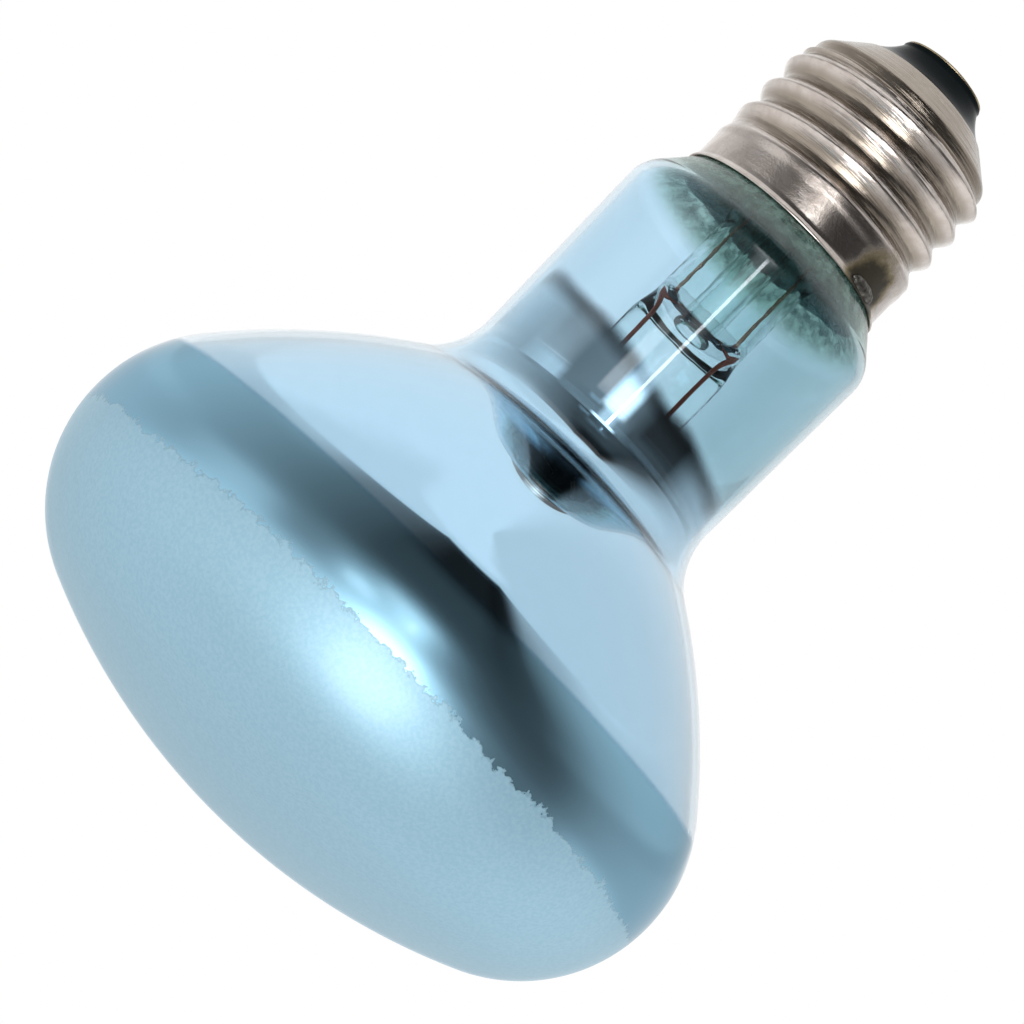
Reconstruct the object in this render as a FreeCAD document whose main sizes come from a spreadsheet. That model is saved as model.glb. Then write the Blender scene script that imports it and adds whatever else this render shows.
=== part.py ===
import FreeCAD, Part
import math
import os

import Sketcher
from FreeCAD import Placement, Rotation, Vector

# A reflector bulb standing on its domed face. The Z axis is the bulb's axis and points to
# the cap's contact. The origin is the lowest point of the face, and the front is at -Y.
# All sizes are in millimetres and degrees.

SIZES = {
    # Blown glass, outer surface: a chain of tangent arcs from the face to the neck
    "bulb_radius": 40.0,
    "face_radius": 73.0,
    "rim_radius": 18.1,
    "bowl_radius": 79.0,
    "throat_radius": 9.2,
    "throat_rise": 33.95,
    "neck_step": 3.16,
    "neck_flare": 1.3,
    "neck_length": 22.05,
    "shoulder_radius": 4.0,
    "shoulder_slope": 50.0,
    "cement_gap": 0.65,
    "seal_bend": 2.0,
    "seal_depth": 6.1,
    "glass_wall": 0.8,
    # Mirror film on the inside of the glass
    "film": 0.12,
    "film_edge_drop": 2.2,
    "film_neck_height": 9.35,
    # Screw cap, rolled from sheet
    "sheet": 0.3,
    "skirt_radius": 12.95,
    "rim_turnout": 0.4,
    "rim_height": 0.7,
    "skirt_height": 4.2,
    "skirt_bore_depth": 1.8,
    "crest_step": 0.1,
    "thread_depth": 0.9,
    "thread_pitch": 3.629,
    "thread_land": 0.2,
    "thread_start": 5.8,
    "thread_end": 17.57,
    "thread_runout": 1.0,
    "thread_turn": 150.0,
    "end_step": 0.1,
    "end_land": 1.0,
    "end_cone": 3.36,
    "seat_gap": 0.04,
    # Black glass end, contact plate and solder
    "insulator_neck": 5.5,
    "insulator_height": 3.64,
    "insulator_lip": 0.2,
    "insulator_sag": 9.0,
    "insulator_floor": 0.85,
    "lead_hole": 1.1,
    "plate_radius": 5.35,
    "plate_edge": 0.2,
    "plate_rise": 0.6,
    "plate_flat": 2.7,
    "plate_bevel": 1.1,
    "solder_height": 0.26,
    "solder_dip": 0.35,
    "side_solder_turn": -43.0,
    "side_solder_height": 0.72,
    "side_solder_width": 2.3,
    "side_solder_bulge": 0.65,
    # Glass stem: flare, tube and press
    "stem_radius": 5.9,
    "stem_wall": 0.9,
    "flare_height": 8.0,
    "flare_lap": 0.9,
    "stem_length": 19.0,
    "press_taper": 2.6,
    "press_length": 6.8,
    "press_half_width": 6.4,
    "press_half_depth": 1.9,
    "exhaust_radius": 2.2,
    "exhaust_wall": 0.7,
    "exhaust_reach": 6.4,
    "arbor_radius": 1.5,
    "arbor_length": 12.5,
    "button_radius": 2.3,
    "button_half_height": 1.7,
    # Wires and filament
    "dumet_radius": 0.25,
    "lead_spacing": 4.3,
    "dumet_stub": 1.2,
    "lead_radius": 0.3,
    "lead_length": 20.5,
    "lead_knee": 9.0,
    "outer_lead_radius": 0.22,
    "outer_lead_bend": 1.0,
    "shell_lead_inset": 0.01,
    "shell_lead_foot": 2.6,
    "filament_ring": 7.0,
    "filament_coil": 0.35,
    "filament_sweep": 188.0,
    "hook_gap": 0.02,
    "support_radius": 0.12,
    "support_seat": 1.2,
    "support_spread": 45.0,
}

# The shell's end cone slopes at 45 degrees: these shares of the sheet's thickness give its inner surface
CONE_MITRE = math.tan(math.radians(45 / 2))
CONE_BEVEL = math.sqrt(1 / 2)

# A wire's hook is bent to this share of the half width of the hook
HOOK_BEND = 0.75

# The filament is held up at this many places between its ends
SUPPORTS = 3

doc = FreeCAD.newDocument("reflector_bulb")
sheet = doc.addObject("Spreadsheet::Sheet", "Sizes")
for row, (alias, value) in enumerate(SIZES.items(), start=1):
    sheet.set(f"A{row}", alias)
    sheet.set(f"B{row}", str(value))
    sheet.setAlias(f"B{row}", alias)
doc.recompute()


class Size:
    """A number together with the expression over the sheet's cells that gives it."""

    def __init__(self, value, text):
        self.value = value
        self.text = text

    def __add__(self, other):
        return joined(self, "+", other, self.value + number(other))

    def __radd__(self, other):
        return joined(other, "+", self, number(other) + self.value)

    def __sub__(self, other):
        return joined(self, "-", other, self.value - number(other))

    def __rsub__(self, other):
        return joined(other, "-", self, number(other) - self.value)

    def __mul__(self, other):
        return joined(self, "*", other, self.value * number(other))

    def __rmul__(self, other):
        return joined(other, "*", self, number(other) * self.value)

    def __truediv__(self, other):
        return joined(self, "/", other, self.value / number(other))

    def __neg__(self):
        return joined(0, "-", self, -self.value)


def number(item):
    return item.value if isinstance(item, Size) else float(item)


def words(item):
    return item.text if isinstance(item, Size) else str(item)


def joined(left, sign, right, value):
    return Size(value, f"({words(left)} {sign} {words(right)})")


def sine(angle):
    return Size(math.sin(math.radians(angle.value)), f"sin({angle.text})")


def cosine(angle):
    return Size(math.cos(math.radians(angle.value)), f"cos({angle.text})")


def tangent(angle):
    return Size(math.tan(math.radians(angle.value)), f"tan({angle.text})")


def arctangent(ratio):
    return Size(math.degrees(math.atan(ratio.value)), f"(atan({ratio.text}) / 1 deg)")


def root(area):
    return Size(math.sqrt(area.value), f"sqrt({area.text})")


class Sheet:
    """The sheet's cells as sizes, by alias."""

    def __getattr__(self, alias):
        return Size(SIZES[alias], f"Sizes.{alias}")


s = Sheet()

# Places worked out from the driving sizes

neck_radius = s.skirt_radius + s.neck_step
rim_centre_r = s.bulb_radius - s.rim_radius
face_to_rim = s.face_radius - s.rim_radius
rim_centre_z = s.face_radius - root(face_to_rim * face_to_rim - rim_centre_r * rim_centre_r)
throat_centre_r = neck_radius + s.throat_radius
throat_centre_z = rim_centre_z + s.throat_rise
bend_run = s.throat_radius + s.shoulder_radius - s.neck_length * sine(s.neck_flare)
shoulder_centre_r = throat_centre_r - bend_run / cosine(s.neck_flare)
shoulder_centre_z = throat_centre_z + s.neck_length

# The cap's edge rests where the shoulder's cone is as wide as the turned-out rim's inside
cone_rise = tangent(s.shoulder_slope)
cap_seat_radius = s.skirt_radius + s.rim_turnout - s.sheet - s.seat_gap
shoulder_end_r = shoulder_centre_r + s.shoulder_radius * sine(s.shoulder_slope)
shoulder_end_z = shoulder_centre_z + s.shoulder_radius * cosine(s.shoulder_slope)
cap_edge_z = shoulder_end_z + (shoulder_end_r - cap_seat_radius) * cone_rise

# The cap's other radii follow its skirt, and the rim of the neck follows the shell's bore
thread_crest = s.skirt_radius + s.crest_step
thread_root = thread_crest - s.thread_depth
bore_radius = thread_root - s.sheet
end_radius = thread_root - s.end_step
end_hole = end_radius - s.end_cone
seal_radius = bore_radius - s.cement_gap

# Heights above the cap's edge
end_cone_z = s.thread_end + s.end_land
end_hole_z = end_cone_z + s.end_cone
plate_z = end_hole_z + s.insulator_height
plate_top_z = plate_z + s.plate_edge + s.plate_rise
seal_cone_end_r = seal_radius + s.seal_bend * (1 - sine(s.shoulder_slope))
seal_cone_end_z = (cap_seat_radius - seal_cone_end_r) * cone_rise
seal_bend_z = seal_cone_end_z + s.seal_bend * cosine(s.shoulder_slope)

# Heights above the seal, which is the rim of the neck where the stem's flare is melted on
press_top = -s.stem_length - s.press_taper
press_foot = press_top - s.press_length
filament_z = press_foot - s.lead_length
button_z = press_foot - s.arbor_length


def new_body(name, lift=None, turn=None):
    """An empty body, lifted and turned about the bulb's axis."""
    body = doc.addObject("PartDesign::Body", name)
    body.Label = name
    if lift is not None:
        body.setExpression("Placement.Base.z", lift.text)
    if turn is not None:
        body.Placement = Placement(Vector(0, 0, number(lift or 0)), Rotation(Vector(0, 0, 1), 1))
        body.setExpression("Placement.Rotation.Angle", f"{words(turn)} * 1 deg")
    return body


def new_sketch(body, name, plane="XZ_Plane", offset=None):
    sketch = body.newObject("Sketcher::SketchObject", name)
    found = [item for item in body.Origin.OriginFeatures if item.Role == plane]
    sketch.AttachmentSupport = (found[0], [""])
    sketch.MapMode = "FlatFace"
    if offset is not None:
        sketch.setExpression("AttachmentOffset.Base.z", offset.text)
    return sketch


def bind(sketch, kind, *places, size):
    """A dimension of the sketch that follows a size."""
    value = math.radians(size.value) if kind == "Angle" else size.value
    index = sketch.addConstraint(Sketcher.Constraint(kind, *places, value))
    sketch.setExpression(f"Constraints[{index}]", words(size))


def pin(sketch, geometry, point, across, up):
    """Fixes a point of the sketch at the sizes across and up, where 0 means on the axis."""
    if across == 0:
        sketch.addConstraint(Sketcher.Constraint("PointOnObject", geometry, point, -2))
    else:
        bind(sketch, "DistanceX", geometry, point, size=across)
    if up == 0:
        sketch.addConstraint(Sketcher.Constraint("PointOnObject", geometry, point, -1))
    else:
        bind(sketch, "DistanceY", geometry, point, size=up)


def spot(across, up):
    return Vector(number(across), number(up), 0)


def arc_between(start, end, radius, turn):
    """The short arc from start to end, turning left for turn 1 and right for turn -1."""
    middle = (start + end) * 0.5
    half = (end - start) * 0.5
    reach = math.sqrt(radius**2 - half.Length**2)
    left = Vector(-half.y, half.x, 0).normalize()
    centre = middle + left * (reach * turn)
    angles = [math.atan2(p.y - centre.y, p.x - centre.x) for p in (start, end)][::turn]
    return Part.ArcOfCircle(Part.Circle(centre, Vector(0, 0, 1), radius), *angles)


def draw_outline(sketch, corners):
    """A closed outline through corners (across, up), with (radius, turn) added for an arc to the next."""
    edges = []
    for corner, following in zip(corners, corners[1:] + corners[:1]):
        start = spot(*corner[:2])
        end = spot(*following[:2])
        if len(corner) == 2:
            edge = sketch.addGeometry(Part.LineSegment(start, end), False)
            edges.append((edge, 1, 2))
        else:
            radius, turn = corner[2:]
            edge = sketch.addGeometry(arc_between(start, end, radius.value, turn), False)
            edges.append((edge, 1, 2) if turn == 1 else (edge, 2, 1))
            bind(sketch, "Radius", edge, size=radius)
    for (edge, first, last), (after, after_first, _) in zip(edges, edges[1:] + edges[:1]):
        sketch.addConstraint(Sketcher.Constraint("Coincident", edge, last, after, after_first))
    for corner, (edge, first, _) in zip(corners, edges):
        pin(sketch, edge, first, *corner[:2])


def revolve(body, sketch, angle=None):
    """Turns the sketch about the bulb's axis: all round, or by an angle with the sketch in its middle."""
    feature = body.newObject("PartDesign::Revolution", f"{body.Name}_turned")
    feature.Profile = (sketch, [""])
    feature.ReferenceAxis = (sketch, ["V_Axis"])
    feature.Angle = 360
    if angle is not None:
        feature.Midplane = True
        feature.setExpression("Angle", angle.text)
    sketch.Visibility = False
    return feature


def turned_piece(name, corners, lift=None, turn=None):
    """A piece that is one outline turned about the axis."""
    body = new_body(name, lift, turn)
    sketch = new_sketch(body, f"{name}_outline")
    draw_outline(sketch, corners)
    revolve(body, sketch)
    return body


# Glass outline


def tangent_circle_centre(inner, inner_reach, outer, outer_reach):
    """The crossing of two circles that lies away from the bulb's axis: the bowl arc's centre."""
    span = outer - inner
    along = (span.Length**2 + inner_reach**2 - outer_reach**2) / (2 * span.Length)
    aside = math.sqrt(inner_reach**2 - along**2)
    unit = Vector(span).normalize()
    return inner + unit * along + Vector(-unit.y, unit.x, 0) * aside


def arc_at(centre, radius, start, end):
    return Part.ArcOfCircle(Part.Circle(centre, Vector(0, 0, 1), radius), start, end)


def direction(centre, point):
    return math.atan2(point.y - centre.y, point.x - centre.x)


def draw_wall(sketch, inset, whole):
    """Rim, bowl, throat and neck, drawn inset inside the outer surface, and all of it if whole.
    It returns the chain's first and last edge with their free ends."""
    depth = number(inset)
    rim_centre = spot(rim_centre_r, rim_centre_z)
    throat_centre = spot(throat_centre_r, throat_centre_z)
    face_centre = spot(0, s.face_radius)
    bowl_centre = tangent_circle_centre(
        rim_centre,
        (s.bowl_radius - s.rim_radius).value,
        throat_centre,
        (s.bowl_radius + s.throat_radius).value,
    )
    radii = {
        "rim": s.rim_radius - inset,
        "bowl": s.bowl_radius - inset,
        "throat": s.throat_radius + inset,
    }
    flare = math.radians(s.neck_flare.value)
    across_neck = Vector(math.cos(flare), -math.sin(flare), 0)
    bowl_start = direction(bowl_centre, rim_centre)
    bowl_end = direction(bowl_centre, throat_centre)
    throat_neck = throat_centre - across_neck * radii["throat"].value
    if whole:
        rim_start = direction(face_centre, rim_centre)
        shoulder_centre = spot(shoulder_centre_r, shoulder_centre_z)
        neck_end = shoulder_centre + across_neck * (s.shoulder_radius.value - depth)
    else:
        edge_z = rim_centre_z - s.film_edge_drop
        rim_start = math.asin(-s.film_edge_drop.value / radii["rim"].value)
        film_top = throat_centre_z + s.film_neck_height
        slant = math.tan(flare)
        neck_end = Vector(throat_neck.x + (film_top.value - throat_neck.y) * slant, film_top.value, 0)
    rim = sketch.addGeometry(arc_at(rim_centre, radii["rim"].value, rim_start, bowl_start), False)
    bowl = sketch.addGeometry(arc_at(bowl_centre, radii["bowl"].value, bowl_start, bowl_end), False)
    throat = sketch.addGeometry(
        arc_at(throat_centre, radii["throat"].value, math.pi - flare, bowl_end + math.pi), False
    )
    neck = sketch.addGeometry(Part.LineSegment(throat_neck, neck_end), False)
    for first, second in (((rim, 2), (bowl, 1)), ((bowl, 2), (throat, 2)), ((throat, 1), (neck, 1))):
        sketch.addConstraint(Sketcher.Constraint("Tangent", *first, *second))
    for edge, radius in zip((rim, bowl, throat), radii.values()):
        bind(sketch, "Radius", edge, size=radius)
    bind(sketch, "DistanceX", rim, 3, size=rim_centre_r)
    bind(sketch, "DistanceX", throat, 3, size=throat_centre_r)
    bind(sketch, "DistanceY", rim, 3, throat, 3, size=s.throat_rise)
    bind(sketch, "Angle", neck, size=90 - s.neck_flare)
    if not whole:
        bind(sketch, "DistanceY", rim, 3, size=rim_centre_z)
        bind(sketch, "DistanceY", rim, 1, size=edge_z)
        bind(sketch, "DistanceY", neck, 2, size=film_top)
        return (rim, 1), (neck, 2)
    face = draw_face(sketch, inset, face_centre, rim_start, (rim, 1))
    top = draw_seal(sketch, inset, neck, neck_end)
    return (face, 1), (top, 2)


def draw_face(sketch, inset, centre, end, rim):
    """The domed face, from the axis out to the rim."""
    radius = s.face_radius - inset
    face = sketch.addGeometry(arc_at(centre, radius.value, -math.pi / 2, end), False)
    sketch.addConstraint(Sketcher.Constraint("Tangent", face, 2, *rim))
    sketch.addConstraint(Sketcher.Constraint("PointOnObject", face, 3, -2))
    bind(sketch, "Radius", face, size=radius)
    pin(sketch, face, 1, 0, inset)
    return face


def draw_seal(sketch, inset, neck, neck_end):
    """Shoulder arc, cone, and the narrow end that the cap covers."""
    shoulder_centre = spot(shoulder_centre_r, shoulder_centre_z)
    shoulder_size = s.shoulder_radius - inset
    slope = math.radians(s.shoulder_slope.value)
    out = Vector(math.sin(slope), math.cos(slope), 0)
    shoulder_end = shoulder_centre + out * shoulder_size.value
    bend_size = s.seal_bend + inset
    bend_centre = spot(seal_radius + s.seal_bend, cap_edge_z + seal_bend_z)
    cone_end = bend_centre - out * bend_size.value
    seal_start = spot(seal_radius - inset, cap_edge_z + seal_bend_z)
    seal_top = spot(seal_radius - inset, cap_edge_z + s.seal_depth)
    shoulder_start = direction(shoulder_centre, neck_end)
    shoulder_arc = arc_at(shoulder_centre, shoulder_size.value, shoulder_start, math.pi / 2 - slope)
    shoulder = sketch.addGeometry(shoulder_arc, False)
    cone = sketch.addGeometry(Part.LineSegment(shoulder_end, cone_end), False)
    bend = sketch.addGeometry(arc_at(bend_centre, bend_size.value, math.pi, 1.5 * math.pi - slope), False)
    seal = sketch.addGeometry(Part.LineSegment(seal_start, seal_top), False)
    joints = (
        ((neck, 2), (shoulder, 1)),
        ((shoulder, 2), (cone, 1)),
        ((cone, 2), (bend, 2)),
        ((bend, 1), (seal, 1)),
    )
    for first, second in joints:
        sketch.addConstraint(Sketcher.Constraint("Tangent", *first, *second))
    bind(sketch, "Radius", shoulder, size=shoulder_size)
    bind(sketch, "DistanceY", shoulder, 3, size=shoulder_centre_z)
    bind(sketch, "Angle", cone, size=180 - s.shoulder_slope)
    bind(sketch, "Radius", bend, size=bend_size)
    bind(sketch, "DistanceX", bend, 3, size=seal_radius + s.seal_bend)
    sketch.addConstraint(Sketcher.Constraint("Vertical", seal))
    bind(sketch, "DistanceY", seal, 2, size=cap_edge_z + s.seal_depth)
    return seal


def join_walls(sketch, outside, inside):
    """Closes the outline between the ends of two walls."""
    points = [(sketch.getPoint(*a), sketch.getPoint(*b)) for a, b in zip(outside, inside)]
    for (start, end), first, second in zip(points, outside, inside):
        edge = sketch.addGeometry(Part.LineSegment(start, end), False)
        sketch.addConstraint(Sketcher.Constraint("Coincident", edge, 1, *first))
        sketch.addConstraint(Sketcher.Constraint("Coincident", edge, 2, *second))


def glass_envelope():
    """The blown bulb: face, rim, bowl, throat, neck and shoulder in one wall of even thickness."""
    body = new_body("glass_envelope")
    sketch = new_sketch(body, "glass_envelope_outline")
    join_walls(sketch, draw_wall(sketch, 0, True), draw_wall(sketch, s.glass_wall, True))
    revolve(body, sketch)
    return body


def mirror_coating():
    """The aluminium film inside the rim, bowl, throat and lower neck."""
    body = new_body("mirror_coating")
    sketch = new_sketch(body, "mirror_coating_outline")
    film_inset = s.glass_wall + s.film
    join_walls(sketch, draw_wall(sketch, s.glass_wall, False), draw_wall(sketch, film_inset, False))
    revolve(body, sketch)
    return body


# Screw cap


def cut_thread(body, name, open_radius, deep_radius, start_z, height):
    """A helical knuckle groove: one arc at its bottom and two half arcs that round its lips over."""
    flank = s.thread_pitch / 4
    half_depth = (open_radius - deep_radius) / 2
    side = 1 if half_depth.value > 0 else -1
    mid_radius = (open_radius + deep_radius) / 2
    knuckle = (flank * flank + half_depth * half_depth) / (half_depth * 2 * side)
    half_mouth = s.thread_pitch / 2 - s.thread_land / 2
    half_land = s.thread_land / 2
    lip_radius = open_radius - side * (knuckle - root(knuckle * knuckle - half_land * half_land))
    outside = open_radius + side * s.sheet
    corners = [
        (outside, start_z - half_mouth),
        (lip_radius, start_z - half_mouth, knuckle, side),
        (mid_radius, start_z - flank, knuckle, -side),
        (mid_radius, start_z + flank, knuckle, side),
        (lip_radius, start_z + half_mouth),
        (outside, start_z + half_mouth),
    ]
    sketch = new_sketch(body, f"{name}_section")
    draw_outline(sketch, corners)
    doc.recompute()
    groove = body.newObject("PartDesign::SubtractiveHelix", name)
    groove.Profile = (sketch, [""])
    groove.ReferenceAxis = (sketch, ["V_Axis"])
    groove.Mode = "pitch-height-angle"
    groove.setExpression("Pitch", s.thread_pitch.text)
    groove.setExpression("Height", height.text)
    sketch.Visibility = False
    return groove


def cap_shell():
    """The rolled screw shell, with the thread pressed through the sheet from both sides."""
    inner_rim = s.skirt_radius + s.rim_turnout - s.sheet
    inner_skirt = s.skirt_radius - s.sheet
    inner_end = end_radius - s.sheet
    mitre = s.sheet * CONE_MITRE
    bevel = s.sheet * CONE_BEVEL
    corners = [
        (inner_rim, 0),
        (s.skirt_radius + s.rim_turnout, 0),
        (s.skirt_radius, s.rim_height),
        (s.skirt_radius, s.skirt_height - s.thread_land),
        (thread_crest, s.skirt_height),
        (thread_crest, s.thread_end - s.thread_runout),
        (end_radius, s.thread_end),
        (end_radius, end_cone_z),
        (end_hole, end_hole_z),
        (end_hole - bevel, end_hole_z - bevel),
        (inner_end, end_cone_z - mitre),
        (inner_end, s.thread_end - s.thread_runout),
        (bore_radius, s.thread_end - s.thread_runout - s.sheet),
        (bore_radius, s.skirt_bore_depth + s.thread_depth),
        (inner_skirt, s.skirt_bore_depth),
        (inner_skirt, s.rim_height),
    ]
    body = turned_piece("cap_shell", corners, cap_edge_z, s.thread_turn)
    outer_height = s.thread_end - s.thread_start + s.thread_pitch / 4
    inner_height = s.thread_end - s.thread_runout - s.thread_start - s.thread_pitch
    cut_thread(body, "outer_groove", thread_crest, thread_root, s.thread_start, outer_height)
    inner_start = s.thread_start + s.thread_pitch / 2
    cut_thread(body, "inner_groove", bore_radius, thread_crest - s.sheet, inner_start, inner_height)
    return body


def cap_insulator():
    """The black glass end: it fills the shell's end cone and narrows to a lip round the contact plate."""
    inner_end = end_radius - s.sheet
    mitre = s.sheet * CONE_MITRE
    bevel = s.sheet * CONE_BEVEL
    corners = [
        (s.lead_hole, end_cone_z - s.insulator_floor),
        (inner_end, end_cone_z - s.insulator_floor),
        (inner_end, end_cone_z - mitre),
        (end_hole - bevel, end_hole_z - bevel),
        (end_hole, end_hole_z, s.insulator_sag, -1),
        (s.insulator_neck, plate_z - 2 * s.insulator_lip),
        (s.insulator_neck + s.insulator_lip, plate_z - s.insulator_lip),
        (s.insulator_neck, plate_z),
        (s.lead_hole, plate_z),
    ]
    return turned_piece("cap_insulator", corners, cap_edge_z)


def contact_plate():
    """The brass end contact, with a hole for the lead."""
    corners = [
        (s.lead_hole, plate_z),
        (s.plate_radius, plate_z),
        (s.plate_radius, plate_z + s.plate_edge),
        (s.plate_radius - s.plate_bevel, plate_top_z - s.plate_edge),
        (s.plate_flat, plate_top_z),
        (s.lead_hole, plate_top_z),
    ]
    return turned_piece("contact_plate", corners, cap_edge_z)


def centre_solder():
    """The solder that closes the plate's hole: a plug with a domed head."""
    dome = (s.plate_flat * s.plate_flat + s.solder_height * s.solder_height) / (2 * s.solder_height)
    corners = [
        (0, plate_top_z - s.solder_dip),
        (s.lead_hole, plate_top_z - s.solder_dip),
        (s.lead_hole, plate_top_z),
        (s.plate_flat, plate_top_z, dome, 1),
        (0, plate_top_z + s.solder_height),
    ]
    return turned_piece("centre_solder", corners, cap_edge_z)


def side_solder():
    """The solder that joins one lead to the shell: a smooth blob on the skirt, just above its edge."""
    blob = doc.addObject("Part::Ellipsoid", "side_solder_blob")
    blob.Angle1 = -90
    blob.Angle2 = 90
    blob.setExpression("Radius1", s.side_solder_height.text)
    blob.setExpression("Radius2", s.side_solder_bulge.text)
    blob.setExpression("Radius3", s.side_solder_width.text)
    blob.setExpression("Placement.Base.x", s.skirt_radius.text)
    blob.setExpression("Placement.Base.z", (s.side_solder_height + s.seat_gap).text)
    skirt = doc.addObject("Part::Cylinder", "side_solder_skirt")
    skirt.setExpression("Radius", s.skirt_radius.text)
    skirt.setExpression("Height", s.skirt_height.text)
    rim = doc.addObject("Part::Cone", "side_solder_rim")
    rim.setExpression("Radius1", (s.skirt_radius + s.rim_turnout).text)
    rim.setExpression("Radius2", s.skirt_radius.text)
    rim.setExpression("Height", s.rim_height.text)
    seat = doc.addObject("Part::Fuse", "side_solder_seat")
    seat.Base = skirt
    seat.Tool = rim
    solder = doc.addObject("Part::Cut", "side_solder")
    solder.Label = "side_solder"
    solder.Base = blob
    solder.Tool = seat
    solder.Placement = Placement(Vector(0, 0, cap_edge_z.value), Rotation(Vector(0, 0, 1), 1))
    solder.setExpression("Placement.Base.z", cap_edge_z.text)
    solder.setExpression("Placement.Rotation.Angle", f"{s.side_solder_turn.text} * 1 deg")
    return solder


def shell_lead_radius():
    """How far from the axis the side lead runs down inside the shell."""
    return bore_radius - s.outer_lead_radius - s.shell_lead_inset


def basing_cement():
    """The cement ring between the neck's end and the shell, with a groove for the side lead."""
    inner_skirt = s.skirt_radius - s.sheet
    foot = s.rim_height + s.sheet
    corners = [
        (cap_seat_radius - foot / cone_rise, foot),
        (inner_skirt, foot),
        (inner_skirt, s.skirt_bore_depth),
        (bore_radius, s.skirt_bore_depth + s.thread_depth),
        (bore_radius, s.seal_depth - s.sheet),
        (seal_radius, s.seal_depth - s.sheet),
        (seal_radius, seal_bend_z, s.seal_bend, 1),
        (seal_cone_end_r, seal_cone_end_z),
    ]
    body = turned_piece("basing_cement", corners, cap_edge_z, s.side_solder_turn)
    section = new_sketch(body, "basing_cement_groove_section", "XY_Plane", s.seal_depth)
    hole = sketch_circle(section, shell_lead_radius(), 0, s.outer_lead_radius + s.hook_gap)
    groove = body.newObject("PartDesign::Pocket", "basing_cement_groove")
    groove.Profile = (hole, [""])
    groove.Type = "Length"
    groove.setExpression("Length", (s.seal_depth - s.shell_lead_foot + s.hook_gap).text)
    section.Visibility = False
    return body


def sketch_circle(sketch, across, up, radius):
    circle = sketch.addGeometry(Part.Circle(spot(across, up), Vector(0, 0, 1), radius.value), False)
    pin(sketch, circle, 3, across, up)
    bind(sketch, "Radius", circle, size=radius)
    return sketch


# Glass stem

seal_z = cap_edge_z + s.seal_depth


def stem_tube():
    """The stem: a flare melted to the neck's rim, a tube, and a flat press that seals the two wires."""
    inner = s.stem_radius - s.stem_wall
    flare_bend = s.flare_height - s.flare_lap
    corners = [
        (inner, -s.stem_length),
        (s.stem_radius, -s.stem_length),
        (s.stem_radius, -s.flare_height),
        (seal_radius - s.glass_wall, -s.flare_lap),
        (seal_radius - s.glass_wall, 0),
        (seal_radius, 0),
        (seal_radius, s.stem_wall),
        (seal_radius - s.glass_wall - s.stem_wall, s.stem_wall),
        (inner, s.stem_wall - flare_bend),
    ]
    body = turned_piece("stem_tube", corners, seal_z)
    tube_end = new_sketch(body, "stem_tube_end", "XY_Plane", -s.stem_length)
    sketch_circle(tube_end, 0, 0, s.stem_radius)
    press_section = new_sketch(body, "press_section", "XY_Plane", press_top)
    draw_oval(press_section, s.press_half_width, s.press_half_depth)
    doc.recompute()
    taper = body.newObject("PartDesign::AdditiveLoft", "press_taper")
    taper.Profile = (tube_end, [""])
    taper.Sections = [(press_section, [""])]
    press = body.newObject("PartDesign::Pad", "press")
    press.Profile = (press_section, [""])
    press.setExpression("Length", s.press_length.text)
    press.Reversed = True
    holes = new_sketch(body, "wire_holes_section", "XY_Plane", -s.stem_length)
    for side in (1, -1):
        sketch_circle(holes, s.lead_spacing * side, 0, s.dumet_radius)
    bores = body.newObject("PartDesign::Pocket", "wire_holes")
    bores.Profile = (holes, [""])
    bores.Type = "Length"
    bores.setExpression("Length", (s.press_taper + s.press_length).text)
    for sketch in (tube_end, press_section, holes):
        sketch.Visibility = False
    return body


def draw_oval(sketch, half_width, half_depth):
    """An ellipse with its long axis along X."""
    ellipse = Part.Ellipse(Vector(0, 0, 0), half_width.value, half_depth.value)
    oval = sketch.addGeometry(ellipse, False)
    sketch.exposeInternalGeometry(oval)
    major, minor = oval + 1, oval + 2
    sketch.addConstraint(Sketcher.Constraint("Coincident", oval, 3, -1, 1))
    sketch.addConstraint(Sketcher.Constraint("Horizontal", major))
    bind(sketch, "Distance", major, size=2 * half_width)
    bind(sketch, "Distance", minor, size=2 * half_depth)


def exhaust_tube():
    """The tube that the bulb was pumped through, drawn to a closed tip inside the cap."""
    foot = -s.stem_length
    inner = s.exhaust_radius - s.exhaust_wall
    tip = s.exhaust_reach
    neck = tip - s.exhaust_radius
    corners = [
        (inner, foot),
        (s.exhaust_radius, foot),
        (s.exhaust_radius, neck, s.exhaust_radius, 1),
        (0, tip),
        (0, tip - s.exhaust_wall, inner, -1),
        (inner, neck),
    ]
    return turned_piece("exhaust_tube", corners, seal_z)


def arbor():
    """The glass rod below the press, with the button that holds the support wires."""
    corners = [
        (0, press_foot),
        (0, button_z - s.button_half_height),
        (s.arbor_radius, button_z - s.button_half_height),
        (s.button_radius, button_z),
        (s.arbor_radius, button_z + s.button_half_height),
        (s.arbor_radius, press_foot),
    ]
    body = turned_piece("arbor", corners, seal_z, -90 - s.support_spread)
    section = new_sketch(body, "support_seat_section", "YZ_Plane", s.button_radius)
    sketch_circle(section, 0, button_z, s.support_radius)
    seat = body.newObject("PartDesign::Pocket", "support_seat")
    seat.Profile = (section, [""])
    seat.Type = "Length"
    seat.setExpression("Length", s.support_seat.text)
    section.Visibility = False
    doc.recompute()
    seats = body.newObject("PartDesign::PolarPattern", "support_seats")
    seats.Originals = [seat]
    seats.Axis = (doc.getObject("arbor_outline"), ["V_Axis"])
    seats.setExpression("Angle", (2 * s.support_spread).text)
    seats.Occurrences = SUPPORTS
    body.Tip = seats
    return body


# Wires


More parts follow.
